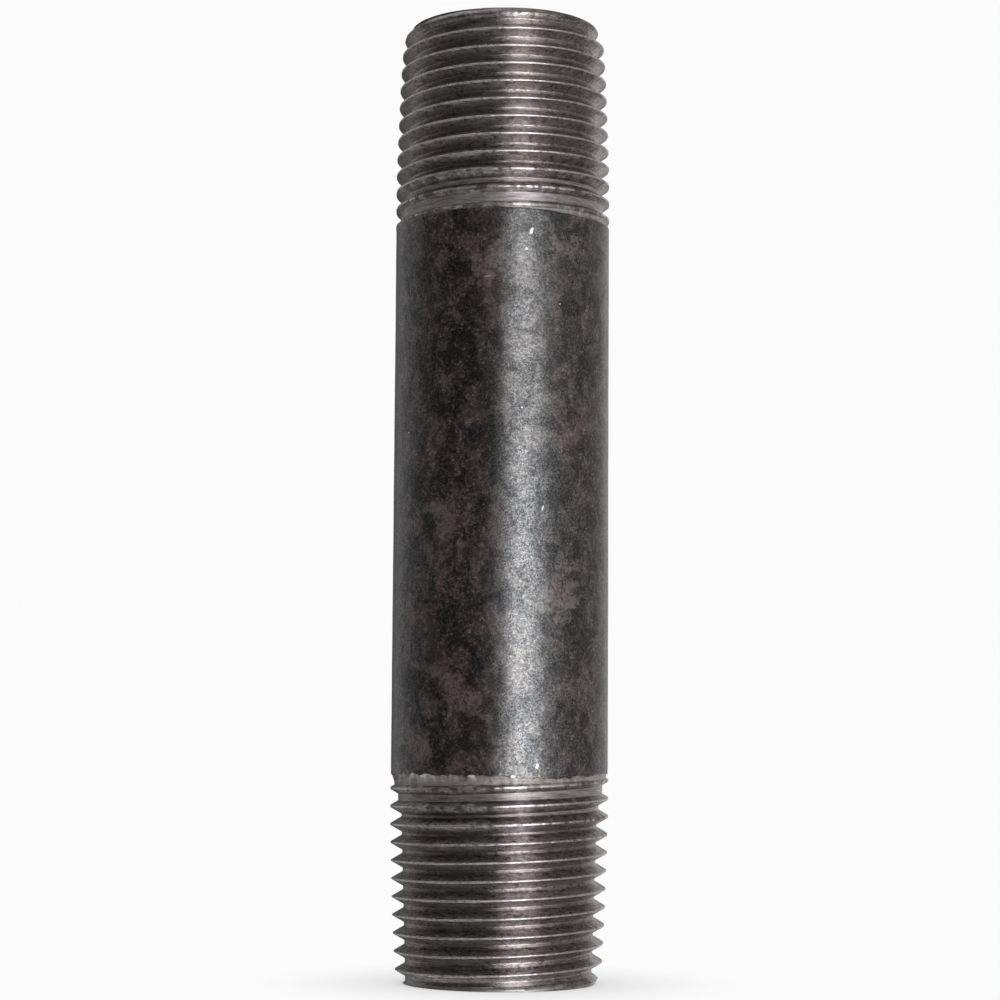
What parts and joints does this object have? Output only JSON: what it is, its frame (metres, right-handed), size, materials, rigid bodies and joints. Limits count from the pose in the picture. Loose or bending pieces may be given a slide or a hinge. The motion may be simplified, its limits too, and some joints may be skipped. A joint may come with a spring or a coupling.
{
  "type": "threaded pipe nipple",
  "caption": "short black steel pipe with an external taper pipe thread on each end, joining two internally threaded fittings",
  "frame": {"origin": "on the pipe's axis at mid length, which is also the centre of the bounding box", "axes": "+Z runs along the pipe; X and Y are radial; the two ends are alike, the -Z end being the +Z end turned half a turn about X"},
  "size_m": [0.0172, 0.0172, 0.0762],
  "materials": {
    "steel_tube": "die-cut threads with fine tool marks, oxidised wall",
    "weld_steel": "dull welded ridge",
    "black_coating": "mottled near-black scale under thin varnish, semi-gloss"
  },
  "bodies": {
    "root": {"pipe_body": "steel_tube", "seam_weld_bead": "weld_steel", "barrel_coating": "black_coating"}
  },
  "joints": []
}
